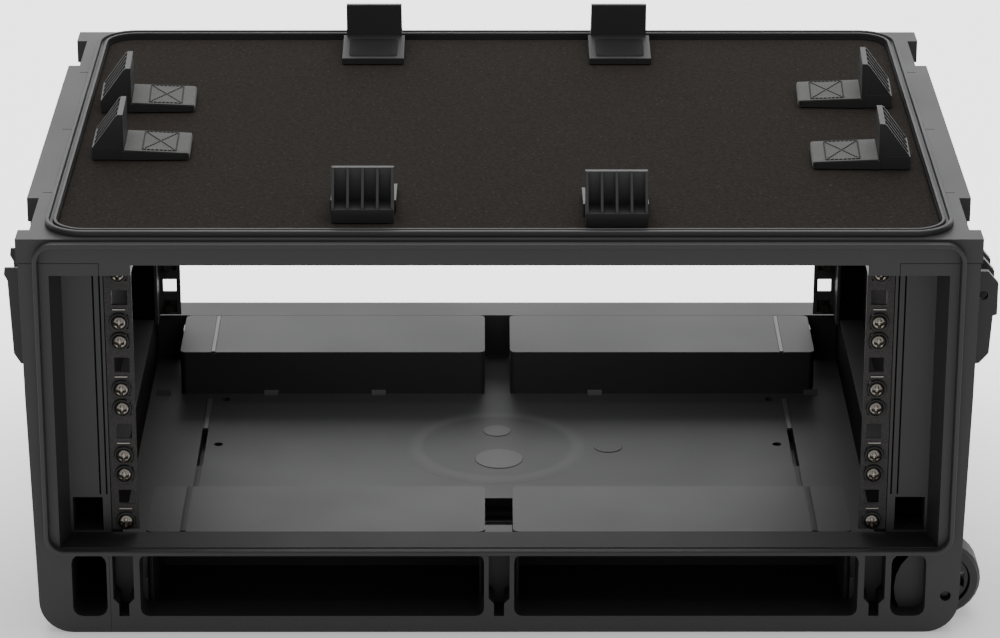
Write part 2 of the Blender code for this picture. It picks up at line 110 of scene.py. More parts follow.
def softbox(name, place, aim, size, watts):
    """A rectangular area light at `place`, facing `aim` and unseen by the camera."""
    lamp = bpy.data.lights.new(name, "AREA")
    lamp.shape = "RECTANGLE"
    lamp.size, lamp.size_y = size
    lamp.energy = watts
    holder = bpy.data.objects.new(name, lamp)
    holder.location = place
    holder.rotation_euler = (Vector(aim) - Vector(place)).to_track_quat("-Z", "Y").to_euler()
    holder.visible_camera = False
    bpy.context.scene.collection.objects.link(holder)


softbox("top_softbox", (0.0, 0.5, 2.6), (0.0, 0.0, 0.1), (2.4, 2.0), 48.0)
softbox("back_softbox", (0.0, 3.2, 1.3), (0.0, 0.0, 0.1), (3.6, 1.6), 38.0)
softbox("bay_fill", (0.0, 0.055, 0.232), (0.0, 0.056, 0.03), (0.36, 0.14), 0.36)


# ------------------------------------------------------------------ lower shell
# One tub with double-walled sides, sealing faces, hollow shelves and a raised floor.  It is moulded
# in black polyethylene in a grained tool, so every edge is slightly rounded and the faces are satin.

def moulded_plastic(name, colour, grain_mm, roughness, gloss=0.5):
    """Black moulded plastic: fine leather grain, with a gloss and tone that drift a little over
    80 mm.  `gloss` is how strongly it mirrors: 0.5 for bare plastic, near 0 for a dead matt one."""
    mat = bpy.data.materials.new(name)
    mat.use_nodes = True
    tree = mat.node_tree
    shader = tree.nodes["Principled BSDF"]
    where = add(tree, "ShaderNodeTexCoord").outputs["Object"]
    cloud = add(tree, "ShaderNodeTexNoise", None, {"Vector": where}, Scale=12.0, Detail=2.0)
    grain = add(tree, "ShaderNodeTexVoronoi", {"feature": "SMOOTH_F1"}, {"Vector": where},
                Scale=1000.0 / grain_mm, Smoothness=0.7)
    fine = add(tree, "ShaderNodeTexNoise", None, {"Vector": where}, Scale=2200.0, Detail=2.0)
    shade = add(tree, "ShaderNodeMapRange", None, {"Value": cloud.outputs["Fac"]}, From_Min=0.3,
                From_Max=0.7, To_Min=roughness - 0.02, To_Max=roughness + 0.03)
    tint = add(tree, "ShaderNodeMix", {"data_type": "RGBA"}, {"Factor": cloud.outputs["Fac"]})
    tint.inputs[6].default_value = srgb(colour)
    tint.inputs[7].default_value = tuple(min(1.0, c * 1.12 + 0.0005) for c in srgb(colour)[:3]) + (1.0,)
    rough_grain = add(tree, "ShaderNodeBump", None, {"Height": grain.outputs["Distance"]}, Strength=0.22,
                      Distance=0.00012)
    fine_grain = add(tree, "ShaderNodeBump", None, {"Height": fine.outputs["Fac"],
                                                    "Normal": rough_grain.outputs["Normal"]},
                     Strength=0.18, Distance=0.00008)
    tree.links.new(tint.outputs[2], shader.inputs["Base Color"])
    tree.links.new(shade.outputs["Result"], shader.inputs["Roughness"])
    tree.links.new(fine_grain.outputs["Normal"], shader.inputs["Normal"])
    shader.inputs["IOR"].default_value = 1.5
    shader.inputs["Specular IOR Level"].default_value = gloss
    return mat


shell_plastic = moulded_plastic("moulded_polyethylene", "#242425", 0.9, 0.5)


def copy_solid(name, node):
    """Copy a frame node's triangles into a new object, welded and with its flat faces joined up."""
    bm = bmesh.new()
    bm.from_mesh(case[node].data)
    bmesh.ops.remove_doubles(bm, verts=bm.verts, dist=1e-6)
    bmesh.ops.dissolve_limit(bm, angle_limit=0.01, verts=bm.verts, edges=bm.edges)
    mesh = bpy.data.meshes.new(name)
    bm.to_mesh(mesh)
    bm.free()
    made = bpy.data.objects.new(name, mesh)
    bpy.context.scene.collection.objects.link(made)
    return made


def points_of(piece):
    """A piece's points as an array of rows x, y, z."""
    co = np.empty(len(piece.data.vertices) * 3)
    piece.data.vertices.foreach_get("co", co)
    return co.reshape(-1, 3)


def apply_modifiers(piece):
    """Bake a piece's modifiers into its mesh."""
    bpy.context.view_layer.update()
    done = bpy.data.meshes.new_from_object(piece.evaluated_get(bpy.context.evaluated_depsgraph_get()))
    piece.modifiers.clear()
    piece.data = done
    piece.data.name = piece.name


def round_edges(piece, radius, segments=2, sharpest=35.0):
    """Give moulded edges a small radius; the larger faces then rule the shading, so flats stay flat."""
    piece.data.polygons.foreach_set("use_smooth", np.ones(len(piece.data.polygons), bool))
    soft = piece.modifiers.new("moulded_edges", "BEVEL")
    soft.width = radius
    soft.segments = segments
    soft.limit_method = "ANGLE"
    soft.angle_limit = math.radians(sharpest)
    soft.use_clamp_overlap = True
    even = piece.modifiers.new("even_shading", "WEIGHTED_NORMAL")
    even.mode = "FACE_AREA"
    even.weight = 90


def finish_piece(piece, body, material, *nodes):
    """Dress a piece, ride it on its body and let it stand for its frame nodes."""
    piece.data.materials.clear()
    piece.data.materials.append(material)
    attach(piece, body)
    if nodes:
        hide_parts(*nodes)
    return piece


shell_nodes = ["side_wall_left", "side_wall_right", "sill_front", "sill_rear", "floor_pan"]
shell_nodes += ["shelf_%s_%s" % (fb, lr) for fb in ("front", "rear") for lr in ("left", "right")]
shell = copy_solid("lower_shell", shell_nodes[0])
lap = 0.0005
# Planes in X and Y where the floor and sills meet their neighbours, and the way they grow into them.
seams = ((0.2420, 1), (0.2213, -1), (0.0085, 1), (0.1152, 1), (0.1857, 1))
joins = []
for node_name in shell_nodes[1:]:
    part = copy_solid("join_" + node_name, node_name)
    co = points_of(part)
    for axis in (0, 1):
        c = co[:, axis]
        for plane, way in seams:
            if node_name.startswith(("sill", "floor")):
                hit = np.abs(np.abs(c) - plane) < 5e-5
                c[hit] += np.sign(c[hit]) * way * lap
    part.data.vertices.foreach_set("co", co.ravel())
    joins.append(part)
for part in joins:
    union = shell.modifiers.new(part.name, "BOOLEAN")
    union.operation = "UNION"
    union.solver = "EXACT"
    union.object = part
apply_modifiers(shell)
for part in joins:
    bpy.data.objects.remove(part)
weld = bmesh.new()
weld.from_mesh(shell.data)
bmesh.ops.remove_doubles(weld, verts=weld.verts, dist=2e-5)
bmesh.ops.dissolve_limit(weld, angle_limit=0.01, verts=weld.verts, edges=weld.edges)
weld.to_mesh(shell.data)
weld.free()

# The same plastic is painted dead black on the bay's side walls and darker and duller on the front
# sill, both as painted shade, and it is a little less glossy on the floor than on the shelves.
side_wall_painted_shade = moulded_plastic("matt_black_side_wall", "#0b0a0a", 0.9, 0.8, 0.04)
floor_plastic = moulded_plastic("tool_flat_floor", "#242425", 0.9, 0.5, 0.42)
sill_band_painted_shade = moulded_plastic("dull_sill_band", "#1b1b1c", 0.9, 0.62, 0.35)
finish_piece(shell, "case", shell_plastic, *shell_nodes)
for dress in (side_wall_painted_shade, sill_band_painted_shade, floor_plastic):
    shell.data.materials.append(dress)
floor_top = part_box("floor_pan")[1].z
facing_up = 0.9
for face in shell.data.polygons:
    at = face.center
    up = face.normal.z
    # 1 is the bay's side walls and 2 the front sill between its edges, both in painted shade, and 3 the top
    # of the floor.
    if 0.2215 < abs(at.x) < 0.2640 and abs(at.y) < 0.185 and at.z > 0.0275 and abs(up) < 0.7:
        face.material_index = 1
    elif -0.2090 < at.y < -0.1865 and 0.056 < at.z < 0.060 and up > facing_up:
        face.material_index = 2
    elif abs(at.z - floor_top) < 0.0005 and up > facing_up:
        face.material_index = 3
    else:
        face.material_index = 0
round_edges(shell, 0.0009)


# ------------------------------------------------------------------ deck
# The upper moulding drops over the shell, with the headers of both openings on its underside and
# notches in its sides for the lid's latches and hinges.
deck = copy_solid("deck_moulding", "top_deck")
round_edges(deck, 0.0012, 3)
finish_piece(deck, "case", shell_plastic, "top_deck")


# ------------------------------------------------------------------ lid hinges and latch keepers
# Two hinge halves on the wheel side and two latch keepers on the other hold the lids.  They are
# moulded in black nylon, smoother and darker than the shell, and set in the deck's notches.
fitting_plastic = moulded_plastic("moulded_black_nylon", "#141314", 0.7, 0.45)
for name in ("lid_hinge_front", "lid_hinge_rear", "latch_keeper_front", "latch_keeper_rear"):
    fitting = copy_solid("moulded_" + name, name)
    round_edges(fitting, 0.0006)
    finish_piece(fitting, "case", fitting_plastic, name)

# ------------------------------------------------------------------ sealing ridges and lid seat
# Hard ridges round the front and rear openings and a double lip round the deck panel.  The lids'
# foam strips close on them.  They are moulded with the shell, so they share its plastic.

def rounded_loop(x0, x1, y0, y1, radius, per_corner=12):
    """Points and outward normals round a rounded rectangle, anticlockwise: four arcs of a circle,
    joined by straights."""
    angle = np.concatenate([np.linspace(start, start + 90.0, per_corner) for start in (0, 90, 180, 270)])
    angle = np.radians(angle)
    corner = np.repeat([[x1 - radius, y1 - radius], [x0 + radius, y1 - radius], [x0 + radius, y0 + radius],
                        [x1 - radius, y0 + radius]], per_corner, axis=0)
    normal = np.stack([np.cos(angle), np.sin(angle)], 1)
    return corner + radius * normal, normal


def skin(name, grid, round_rows=False, round_columns=False, caps=False):
    """Mesh over a grid of points (rows, columns, 3): neighbours become quads, and the grid may
    close on itself either way.  With caps, the first and last row are filled."""
    rows, columns = grid.shape[:2]
    r = np.arange(rows if round_rows else rows - 1)[:, None]
    c = np.arange(columns if round_columns else columns - 1)[None, :]
    a = r * columns + c
    b = r * columns + (c + 1) % columns
    d = ((r + 1) % rows) * columns + c
    e = ((r + 1) % rows) * columns + (c + 1) % columns
    faces = np.stack([a, b, e, d], -1).reshape(-1, 4).tolist()
    if caps:
        faces += [list(range(columns)), list(range((rows - 1) * columns, rows * columns))]
    mesh = bpy.data.meshes.new(name)
    mesh.from_pydata(grid.reshape(-1, 3).tolist(), [], faces)
    bm = bmesh.new()
    bm.from_mesh(mesh)
    bmesh.ops.remove_doubles(bm, verts=bm.verts, dist=1e-7)
    bmesh.ops.recalc_face_normals(bm, faces=bm.faces)
    bm.to_mesh(mesh)
    bm.free()
    made = bpy.data.objects.new(name, mesh)
    bpy.context.scene.collection.objects.link(made)
    return made


def soften(piece, sharpest=32.0):
    """Smooth shading that keeps the corners sharper than the angle given."""
    piece.data.polygons.foreach_set("use_smooth", np.ones(len(piece.data.polygons), bool))
    piece.data.set_sharp_from_angle(angle=math.radians(sharpest))


def round_section(points, radius, steps=3):
    """Replace each corner of a closed section with an arc: a quadratic curve from one cut point
    to the other, with the corner as its control point."""
    pts = np.array(points, float)
    before, after = np.roll(pts, 1, 0) - pts, np.roll(pts, -1, 0) - pts
    lb = np.linalg.norm(before, axis=1, keepdims=True)
    la = np.linalg.norm(after, axis=1, keepdims=True)
    start = pts + before / lb * np.minimum(radius, lb * 0.45)
    end = pts + after / la * np.minimum(radius, la * 0.45)
    t = np.linspace(0, 1, steps + 1)[None, :, None]
    arc = (1 - t) ** 2 * start[:, None] + 2 * t * (1 - t) * pts[:, None] + t ** 2 * end[:, None]
    return arc.reshape(-1, 2)


def swept_lip(name, loop, section, stand):
    """Carry a section (outward offset, height) round a loop.  `stand` turns the loop's own x and y
    and the height into a point."""
    points, normals = loop
    across = points[:, None, :] + normals[:, None, :] * section[None, :, :1]
    height = np.broadcast_to(section[None, :, 1], across.shape[:2])
    piece = skin(name, stand(across[..., 0], across[..., 1], height), True, True)
    soften(piece)
    return piece


sealing_face = 0.2093
for fb, side in ((-1, "front"), (1, "rear")):
    outline = rounded_loop(-0.2783, 0.2783, 0.0578, 0.2570, 0.009)
    profile = round_section([(0.0, sealing_face - 0.0006), (0.0036, sealing_face - 0.0006),
                             (0.0034, sealing_face + 0.0053), (0.0006, sealing_face + 0.0053)], 0.0009)
    ridge = swept_lip("sealing_ridge_" + side, outline, profile,
                      lambda x, z, h: np.stack([x, fb * h, z], -1))
    finish_piece(ridge, "case", shell_plastic, "tongue_" + side)

deck_top = 0.2620
seat_profile = round_section([(0.0, deck_top - 0.0006), (0.0070, deck_top - 0.0006),
                              (0.0070, deck_top + 0.0032), (0.0064, deck_top + 0.0036),
                              (0.0045, deck_top + 0.0036), (0.0042, deck_top + 0.0012),
                              (0.0022, deck_top + 0.0012), (0.0019, deck_top + 0.0033),
                              (0.0000, deck_top + 0.0033)], 0.0005)
seat = swept_lip("lid_seat", rounded_loop(-0.2697, 0.2697, -0.1981, 0.1961, 0.0192, 16), seat_profile,
                 lambda x, y, h: np.stack([x, y, h], -1))
finish_piece(seat, "case", shell_plastic, "seat_ring")


# ------------------------------------------------------------------ rack rails
# Folded steel angle, punched with square holes on the standard grid and powder coated black in a
# fine texture.

def powder_coat(name, colour):
    """Black textured powder coat on steel: pebbled orange peel that breaks the gloss into points."""
    mat = bpy.data.materials.new(name)
    mat.use_nodes = True
    tree = mat.node_tree
    shader = tree.nodes["Principled BSDF"]
    where = add(tree, "ShaderNodeTexCoord").outputs["Object"]
    peel = add(tree, "ShaderNodeTexNoise", None, {"Vector": where}, Scale=1500.0, Detail=2.0,
               Roughness=0.6)
    speck = add(tree, "ShaderNodeValToRGB", None, {"Fac": peel.outputs["Fac"]})
    speck.color_ramp.elements[0].position, speck.color_ramp.elements[0].color = 0.42, srgb(colour)
    lighter = tuple(min(1.0, c * 2.2 + 0.004) for c in srgb(colour)[:3]) + (1.0,)
    speck.color_ramp.elements[1].position, speck.color_ramp.elements[1].color = 0.66, lighter
    bump = add(tree, "ShaderNodeBump", None, {"Height": peel.outputs["Fac"]}, Strength=0.5,
               Distance=0.00015)
    tree.links.new(speck.outputs["Color"], shader.inputs["Base Color"])
    tree.links.new(bump.outputs["Normal"], shader.inputs["Normal"])
    shader.inputs["Roughness"].default_value = 0.55
    shader.inputs["Specular IOR Level"].default_value = 0.2
    return mat


rail_coat = powder_coat("textured_powder_coat", "#2a2828")
for fb in ("front", "rear"):
    for lr in ("left", "right"):
        node_name = "rail_%s_%s" % (fb, lr)
        rack_rail = copy_solid("rack_" + node_name, node_name)
        round_edges(rack_rail, 0.0003, 2)
        finish_piece(rack_rail, "case", rail_coat, node_name)


# ------------------------------------------------------------------ rack screws and cup washers
# Nickel-plated pan-head screws with a cross recess, each in a black plastic cup washer, in the
# lowest and highest hole of every unit, front and rear.  Spring-steel clip nuts hold them: a bright
# hem shows over each lower front one with a leaf of painted shadow under it, and a leaf of painted
# shade closes the hole behind each rear one.

def plated(name, colour, roughness):
    """Bright nickel plate: mirror metal with faint handling haze."""
    mat = bpy.data.materials.new(name)
    mat.use_nodes = True
    tree = mat.node_tree
    shader = tree.nodes["Principled BSDF"]
    where = add(tree, "ShaderNodeTexCoord").outputs["Object"]
    haze = add(tree, "ShaderNodeTexNoise", None, {"Vector": where}, Scale=700.0, Detail=3.0)
    shade = add(tree, "ShaderNodeMapRange", None, {"Value": haze.outputs["Fac"]}, To_Min=roughness,
                To_Max=roughness + 0.22)
    tree.links.new(shade.outputs["Result"], shader.inputs["Roughness"])
    shader.inputs["Base Color"].default_value = srgb(colour)
    shader.inputs["Metallic"].default_value = 1.0
    return mat


nickel = plated("nickel_plated_steel", "#8f8a83", 0.12)
washer_plastic = moulded_plastic("black_nylon", "#161515", 0.5, 0.42)


def turned(name, cx, cz, front, profile, way, sides=40, recess=0.0):
    """Solid of revolution about a line along Y.  The profile lists (radius, height toward `way`).
    With a recess, points near the axis sink by that much where they lie in the arms of a cross."""
    profile = np.array(profile, float)
    turn = np.linspace(0, 2 * math.pi, sides, endpoint=False)
    r, h = profile[:, 0][:, None], profile[:, 1][:, None] + 0 * turn
    x, z = r * np.cos(turn), r * np.sin(turn)
    if recess:
        arm = np.minimum(np.abs(x), np.abs(z))
        in_arms = np.clip((0.0010 - arm) / 0.0003, 0, 1)
        in_reach = np.clip((0.0030 - r) / 0.0004, 0, 1)
        h = h - recess * (in_arms * in_reach * (h > 0.001))
    grid = np.stack([cx + x, front + way * h, cz + z], -1)
    piece = skin(name, grid, False, True, True)
    soften(piece, 38.0)
    return piece


dome = [(0.0046 * math.sin(a), 0.0012 + 0.0028 * math.cos(a)) for a in np.linspace(math.pi / 2, 0.02, 16)]
head = [(0.0029, -0.009), (0.0029, 0.0004), (0.0043, 0.0005), (0.0046, 0.0008)] + dome
cup = [(0.0033, 0.0002), (0.0060, 0.0), (0.0061, 0.0005), (0.0056, 0.0014), (0.0050, 0.0015),
       (0.0047, 0.0009), (0.0033, 0.0007)]
clip_steel = plated("bright_spring_steel", "#b5b0a8", 0.3)
# Flat black standing in for shade: painted shadow on the clip leaves and deck dashes.
painted_shade_black = moulded_plastic("blackened_steel", "#0a0909", 0.4, 0.6)
faces = {"front": (-1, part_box("rail_front_left")[0].y), "rear": (1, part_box("rail_rear_left")[1].y)}
for side, (way, rail_face) in faces.items():
    for node_name in sorted(n for n in case if n.startswith("screw_")):
        low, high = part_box(node_name)
        cx, cz = (low.x + high.x) / 2, (low.z + high.z) / 2
        label = side + node_name[5:]
        screw = turned("pan_head_" + label, cx, cz, rail_face + way * 0.0003, head, way, 56,
                       recess=0.0024)
        finish_piece(screw, "case", nickel)
        if side == "front":
            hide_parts(node_name)
        ring = np.array(cup)
        turn = np.linspace(0, 2 * math.pi, 36, endpoint=False)[:, None]
        grid = np.stack([cx + ring[:, 0] * np.cos(turn), rail_face + way * (0.0002 + ring[:, 1]) + 0 * turn,
                         cz + ring[:, 0] * np.sin(turn)], -1)
        washer = skin("cup_washer_" + label, grid, True, True)
        soften(washer, 40.0)
        finish_piece(washer, "case", washer_plastic)
        # Each clip part: its name, lowest and highest edge from the screw's middle, half its width,
        # how far it stands off the rail, and its metal; a leaf's flat black is painted shadow.
        clips = []
        if side == "rear":
            clips = [("clip_leaf_", -0.0054, 0.0054, 0.0054, 0.00018, painted_shade_black)]
        elif node_name.endswith("low"):
            clips = [("clip_hem_", 0.0079, 0.0084, 0.0039, 0.0008, clip_steel),
                     ("clip_leaf_", 0.0054, 0.0079, 0.0039, 0.00025, painted_shade_black)]
        for kind, z0, z1, half_width, stand, metal in clips:
            t = np.linspace(-half_width, half_width, 9)[:, None]
            strip = round_section([(z0, -0.0002), (z0, stand), (z1, stand), (z1, -0.0002)], 0.00012, 2)
            grid = np.stack([cx + t + 0 * strip[:, 0], rail_face + way * strip[:, 1] + 0 * t,
                             cz + strip[:, 0] + 0 * t], -1)
            clip = skin(kind + label, grid, False, True, True)
            soften(clip, 50.0)
            finish_piece(clip, "case", metal)


# ------------------------------------------------------------------ deck panel
# A stiff board faced with needle-punched carpet, let into the deck.  The pile is short and matted,
# with loose fibres that catch the light.

def needle_carpet(name, dark, light):
    """Needle-punched polypropylene: matted fibres drawn at 0.5 mm so that they show, over faintly uneven
    pile, with a few loose light fibres."""
    mat = bpy.data.materials.new(name)
    mat.use_nodes = True
    tree = mat.node_tree
    shader = tree.nodes["Principled BSDF"]
    where = add(tree, "ShaderNodeTexCoord").outputs["Object"]
    fibre = add(tree, "ShaderNodeTexNoise", None, {"Vector": where}, Scale=2000.0, Detail=3.0,
                Roughness=0.7, Distortion=0.8)
    tuft = add(tree, "ShaderNodeTexNoise", None, {"Vector": where}, Scale=420.0, Detail=2.0, Roughness=0.5)
    both = add(tree, "ShaderNodeMix", None, {"A": fibre.outputs["Fac"], "B": tuft.outputs["Fac"]},
               Factor=0.3)
    tone = add(tree, "ShaderNodeValToRGB", None, {"Fac": both.outputs["Result"]})
    tone.color_ramp.elements[0].position, tone.color_ramp.elements[0].color = 0.32, srgb(dark)
    tone.color_ramp.elements[1].position, tone.color_ramp.elements[1].color = 0.68, srgb(light)
    stray = add(tree, "ShaderNodeTexVoronoi", None, {"Vector": where}, Scale=190.0, Randomness=1.0)
    lint = add(tree, "ShaderNodeMapRange", None, {"Value": stray.outputs["Distance"]}, From_Min=0.05,
               From_Max=0.09, To_Min=0.55, To_Max=0.0)
    face = add(tree, "ShaderNodeMix", {"data_type": "RGBA"}, {"Factor": lint.outputs["Result"]})
    tree.links.new(tone.outputs["Color"], face.inputs[6])
    face.inputs[7].default_value = srgb("#6f6964")
    bump = add(tree, "ShaderNodeBump", None, {"Height": both.outputs["Result"]}, Strength=1.0,
               Distance=0.0006)
    tree.links.new(face.outputs[2], shader.inputs["Base Color"])
    tree.links.new(bump.outputs["Normal"], shader.inputs["Normal"])
    shader.inputs["Roughness"].default_value = 1.0
    shader.inputs["Specular IOR Level"].default_value = 0.08
    return mat


carpet_pile = needle_carpet("needle_punched_carpet", "#181514", "#39342f")
low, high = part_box("carpet_panel")
centre = (low + high) / 2
half = (high - low) / 2
rng = np.random.default_rng(11)
rows, columns = 158, 216
u = np.linspace(-1, 1, columns)[None, :] + np.zeros((rows, 1))
v = np.linspace(-1, 1, rows)[:, None] + np.zeros((1, columns))
edge = np.maximum(np.abs(u), np.abs(v))
radius = 0.0187


def squircle(u, v, half_x, half_y, r):
    """Map the square -1..1 on to a rounded rectangle: points past a corner's centre slide in on
    its arc."""
    x, y = u * half_x, v * half_y
    dx = np.maximum(np.abs(x) - (half_x - r), 0)
    dy = np.maximum(np.abs(y) - (half_y - r), 0)
    far = np.hypot(dx, dy)
    reach = np.maximum(dx, dy)
    k = np.where(far > 1e-9, reach / np.maximum(far, 1e-9), 1.0)
    return np.sign(x) * (np.minimum(np.abs(x), half_x - r) + dx * k), \
        np.sign(y) * (np.minimum(np.abs(y), half_y - r) + dy * k)


def close_holes(piece):
    """Fill a piece's open rims with flat faces and turn all its faces outwards."""
    bm = bmesh.new()
    bm.from_mesh(piece.data)
    bmesh.ops.holes_fill(bm, edges=[e for e in bm.edges if e.is_boundary], sides=0)
    bmesh.ops.recalc_face_normals(bm, faces=bm.faces)
    bm.to_mesh(piece.data)
    bm.free()


px, py = squircle(u, v, half.x - 0.0002, half.y - 0.0002, radius)
pile = rng.normal(0, 1, (rows, columns))
smooth = (pile + np.roll(pile, 1, 0) + np.roll(pile, 1, 1) + np.roll(pile, (1, 1), (0, 1))) / 4
rim = np.clip((1 - edge) / 0.02, 0, 1)
top = high.z - 0.0003 + 0.00006 * smooth * rim - 0.0009 * (1 - rim) ** 2
upper = np.stack([centre.x + px, centre.y + py, top], -1)
panel = skin("carpet_facing", upper)
bm = bmesh.new()
bm.from_mesh(panel.data)
bmesh.ops.extrude_edge_only(bm, edges=[e for e in bm.edges if e.is_boundary])
bm.to_mesh(panel.data)
bm.free()
co = points_of(panel)
co[upper.size // 3:, 2] = low.z         # the rim's new points follow the grid's own
panel.data.vertices.foreach_set("co", co.ravel())
close_holes(panel)
soften(panel, 60.0)
finish_piece(panel, "case", carpet_pile, "carpet_panel")


# ------------------------------------------------------------------ computer hold-down brackets
# Eight moulded angle stops: an upright face, a ribbed back and a foot.  The four at the sides
# are held by webbing sewn round the foot; the others have a rubber pad let into it.
bracket_plastic = moulded_plastic("moulded_nylon", "#262627", 0.7, 0.5)
# Where each upright's inner face stands on the deck, x and y, and the heading of its outer side in
# degrees.
places = {
    "rear_left": (-0.0851, 0.1755, 90.0), "rear_right": (0.0836, 0.1755, 90.0),
    "front_left": (-0.0834, -0.1605, -90.0), "front_right": (0.0714, -0.1675, -90.0),
    "left_rear": (-0.2420, 0.0515, 182.0), "left_front": (-0.2387, -0.0441, 181.0),
    "right_rear": (0.2407, 0.0609, -2.4), "right_front": (0.2407, -0.0621, -2.0),
}


def set_down(points, name):
    """Turn bracket coordinates (outward, along, up) by the bracket's heading and move them on to
    the deck."""
    x, y, heading = places[name]
    c, s = math.cos(math.radians(heading)), math.sin(math.radians(heading))
    u, v, w = points[..., 0], points[..., 1], points[..., 2]
    return np.stack([x + c * u - s * v, y + s * u + c * v, deck_top + w], -1)


sewn = ("left_rear", "left_front", "right_rear", "right_front")


def fit_foot(piece, name):
    """Shape the foot inside the upright's face: a sewn foot is pressed from 8 to 5.6 mm high under
    its strap, and a front foot is drawn in to 20.1 mm each side.  The upright stays as it is."""
    x, y, heading = places[name]
    c, s = math.cos(math.radians(heading)), math.sin(math.radians(heading))
    co = points_of(piece)
    u = c * (co[:, 0] - x) + s * (co[:, 1] - y)
    v = -s * (co[:, 0] - x) + c * (co[:, 1] - y)
    height = co[:, 2] - deck_top
    if name in sewn:
        pressed = np.interp(height, [0.0, 0.0017, 0.0042, 0.0080, 0.0300],
                            [0.0, 0.0001, 0.0033, 0.0056, 0.0300])
        co[:, 2] = deck_top + np.where(u < 0.0011, pressed, height)
    elif name.startswith("front"):
        narrow = np.where((u < 0.0011) & (height < 0.009), np.clip(v, -0.0201, 0.0201), v)
        co[:, 0], co[:, 1] = x + c * u - s * narrow, y + s * u + c * narrow
    piece.data.vertices.foreach_set("co", co.ravel())
    piece.data.update()


for name in places:
    stop = copy_solid("hold_down_" + name, "bracket_" + name)
    fit_foot(stop, name)
    round_edges(stop, 0.0005, 2)
    finish_piece(stop, "case", bracket_plastic, "bracket_" + name)

# The four fixed feet carry a soft pad: a crowned rounded rectangle let into the sloping top.
pad_rubber = moulded_plastic("soft_pvc_pad", "#141414", 0.5, 0.75, 0.2)
for name in ("rear_left", "rear_right", "front_left", "front_right"):
    u, v = np.meshgrid(np.linspace(-1, 1, 25), np.linspace(-1, 1, 25), indexing="ij")
    pu, pv = squircle(u, v, 0.0150, 0.0165, 0.003)
    pu = pu - 0.0215
    slope = 0.0003 + 0.0042 + (pu + 0.040) * (0.0038 / 0.041)
    crown = 0.0006 * (1 - np.maximum(np.abs(u), np.abs(v)) ** 6)
    upper = set_down(np.stack([pu, pv, slope + crown], -1), name)
    under = set_down(np.stack([pu, pv, slope - 0.0008 + 0 * crown], -1), name)
    pad = skin("grip_pad_" + name, np.concatenate([upper, under[::-1]]), True)
    close_holes(pad)
    soften(pad, 40.0)
    finish_piece(pad, "case", pad_rubber)


# ------------------------------------------------------------------ webbing straps
# Grey polyester webbing, woven flat with fine ribs, folded round each side bracket's foot and
# sewn down with a black box-and-cross stitch.

def webbing(name, colour, dark):
    """Woven polyester webbing: ribs 0.8 mm apart along the strap, crossed by weft picks 0.55 mm
    apart.  A wave of scale s repeats every pi / (10 s) millimetres of the strap's own map."""
    mat = bpy.data.materials.new(name)
    mat.use_nodes = True
    tree = mat.node_tree
    shader = tree.nodes["Principled BSDF"]
    along = add(tree, "ShaderNodeUVMap", {"uv_map": "strap_mm"}).outputs["UV"]
    ribs = add(tree, "ShaderNodeTexWave", {"bands_direction": "Y"}, {"Vector": along},
               Scale=math.pi / 10.0 / 0.8)
    picks = add(tree, "ShaderNodeTexWave", {"bands_direction": "X"}, {"Vector": along},
                Scale=math.pi / 10.0 / 0.55, Distortion=0.6)
    weave = add(tree, "ShaderNodeMath", {"operation": "MULTIPLY"},
                {0: ribs.outputs["Fac"], 1: picks.outputs["Fac"]})
    fuzz = add(tree, "ShaderNodeTexNoise", None, {"Vector": along}, Scale=2.2, Detail=3.0)
    tone = add(tree, "ShaderNodeMix", {"data_type": "RGBA"}, {"Factor": weave.outputs["Value"]})
    tone.inputs[6].default_value = srgb(dark)
    tone.inputs[7].default_value = srgb(colour)
    height = add(tree, "ShaderNodeMath", {"operation": "ADD"},
                 {0: weave.outputs["Value"], 1: fuzz.outputs["Fac"]})
    bump = add(tree, "ShaderNodeBump", None, {"Height": height.outputs["Value"]}, Strength=0.7,
               Distance=0.00025)
    tree.links.new(tone.outputs[2], shader.inputs["Base Color"])
    tree.links.new(bump.outputs["Normal"], shader.inputs["Normal"])
    shader.inputs["Roughness"].default_value = 0.8
    shader.inputs["Sheen Weight"].default_value = 0.15
    return mat


def fillet_path(points, radius, steps=6):
    """Round the inner corners of an open run of points with quadratic arcs; the ends stay put."""
    pts = np.array(points, float)
    before, after = pts[:-2] - pts[1:-1], pts[2:] - pts[1:-1]
    lb = np.linalg.norm(before, axis=1, keepdims=True)
    la = np.linalg.norm(after, axis=1, keepdims=True)
    start = pts[1:-1] + before / lb * np.minimum(radius, lb * 0.48)
    end = pts[1:-1] + after / la * np.minimum(radius, la * 0.48)
    t = np.linspace(0, 1, steps + 1)[None, :, None]
    arc = (1 - t) ** 2 * start[:, None] + 2 * t * (1 - t) * pts[1:-1, None] + t ** 2 * end[:, None]
    return np.concatenate([pts[:1], arc.reshape(-1, pts.shape[1]), pts[-1:]])


